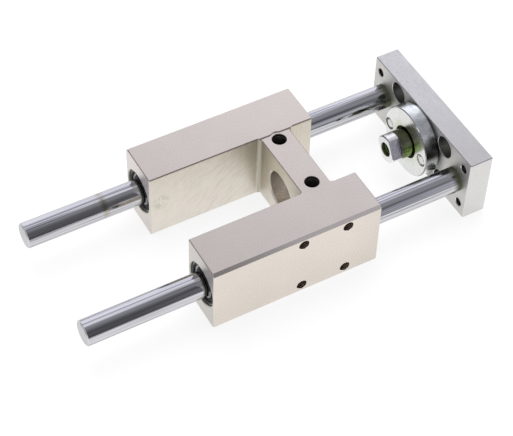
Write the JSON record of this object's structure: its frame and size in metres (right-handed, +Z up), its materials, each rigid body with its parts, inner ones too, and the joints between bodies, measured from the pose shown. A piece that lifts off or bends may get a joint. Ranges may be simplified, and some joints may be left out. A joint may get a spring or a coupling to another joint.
{
  "type": "cylinder guide unit",
  "caption": "H-shaped guide body with two chromed rods in ball bearings, a front plate and a floating rod coupling, for a round pneumatic cylinder.",
  "frame": {"origin": "where the nose bore's axis crosses the middle of the crossbar", "axes": "+X along the stroke towards the front plate, +Y to the left guide rod, +Z up"},
  "size_m": [0.2012, 0.0844, 0.0366],
  "materials": {
    "body_anodised": "pale satin anodised",
    "plate_aluminium": "fine ground, clear anodised",
    "chromed_rod": "polished hard chrome",
    "plated_steel": "turned, bright zinc plated",
    "bearing_steel": "ground hardened steel",
    "screw_steel": "bright plated",
    "cage_plastic": "moulded",
    "seal_rubber": "matt moulded"
  },
  "bodies": {
    "housing": {"guide_body": "body_anodised", "bearing_sleeve_rear_left": "bearing_steel", "bearing_sleeve_rear_right": "bearing_steel", "bearing_sleeve_front_left": "bearing_steel", "bearing_sleeve_front_right": "bearing_steel", "ball_cage_rear_left": "cage_plastic", "ball_cage_rear_right": "cage_plastic", "ball_cage_front_left": "cage_plastic", "ball_cage_front_right": "cage_plastic", "outer_seal_rear_left": "seal_rubber", "outer_seal_rear_right": "seal_rubber", "outer_seal_front_left": "seal_rubber", "outer_seal_front_right": "seal_rubber", "inner_seal_rear_left": "seal_rubber", "inner_seal_rear_right": "seal_rubber", "inner_seal_front_left": "seal_rubber", "inner_seal_front_right": "seal_rubber"},
    "carriage": {"front_plate": "plate_aluminium", "coupling_flange": "plated_steel", "guide_rod_left": "chromed_rod", "guide_rod_right": "chromed_rod", "rod_screw_left": "screw_steel", "rod_screw_right": "screw_steel", "coupling_screw_left": "screw_steel", "coupling_screw_right": "screw_steel"},
    "float_ring": {"thrust_ring": "bearing_steel"},
    "float_disc": {"thrust_disc": "bearing_steel"},
    "stud": {"coupling_stud": "plated_steel"}
  },
  "joints": [
    {"name": "guide_slide", "type": "slide", "parent": "housing", "child": "carriage", "axis": [1, 0, 0], "range_m": [-0.048, 0.052]},
    {"name": "coupling_float_across", "type": "slide", "parent": "carriage", "child": "float_ring", "axis": [0, 1, 0], "range_m": [-0.0007, 0.0007]},
    {"name": "coupling_float_up", "type": "slide", "parent": "float_ring", "child": "float_disc", "axis": [0, 0, 1], "range_m": [-0.0007, 0.0007]},
    {"name": "stud_spin", "type": "hinge", "parent": "float_disc", "child": "stud", "pos_m": [0.0603, 0, 0], "axis": [1, 0, 0], "continuous": true}
  ]
}
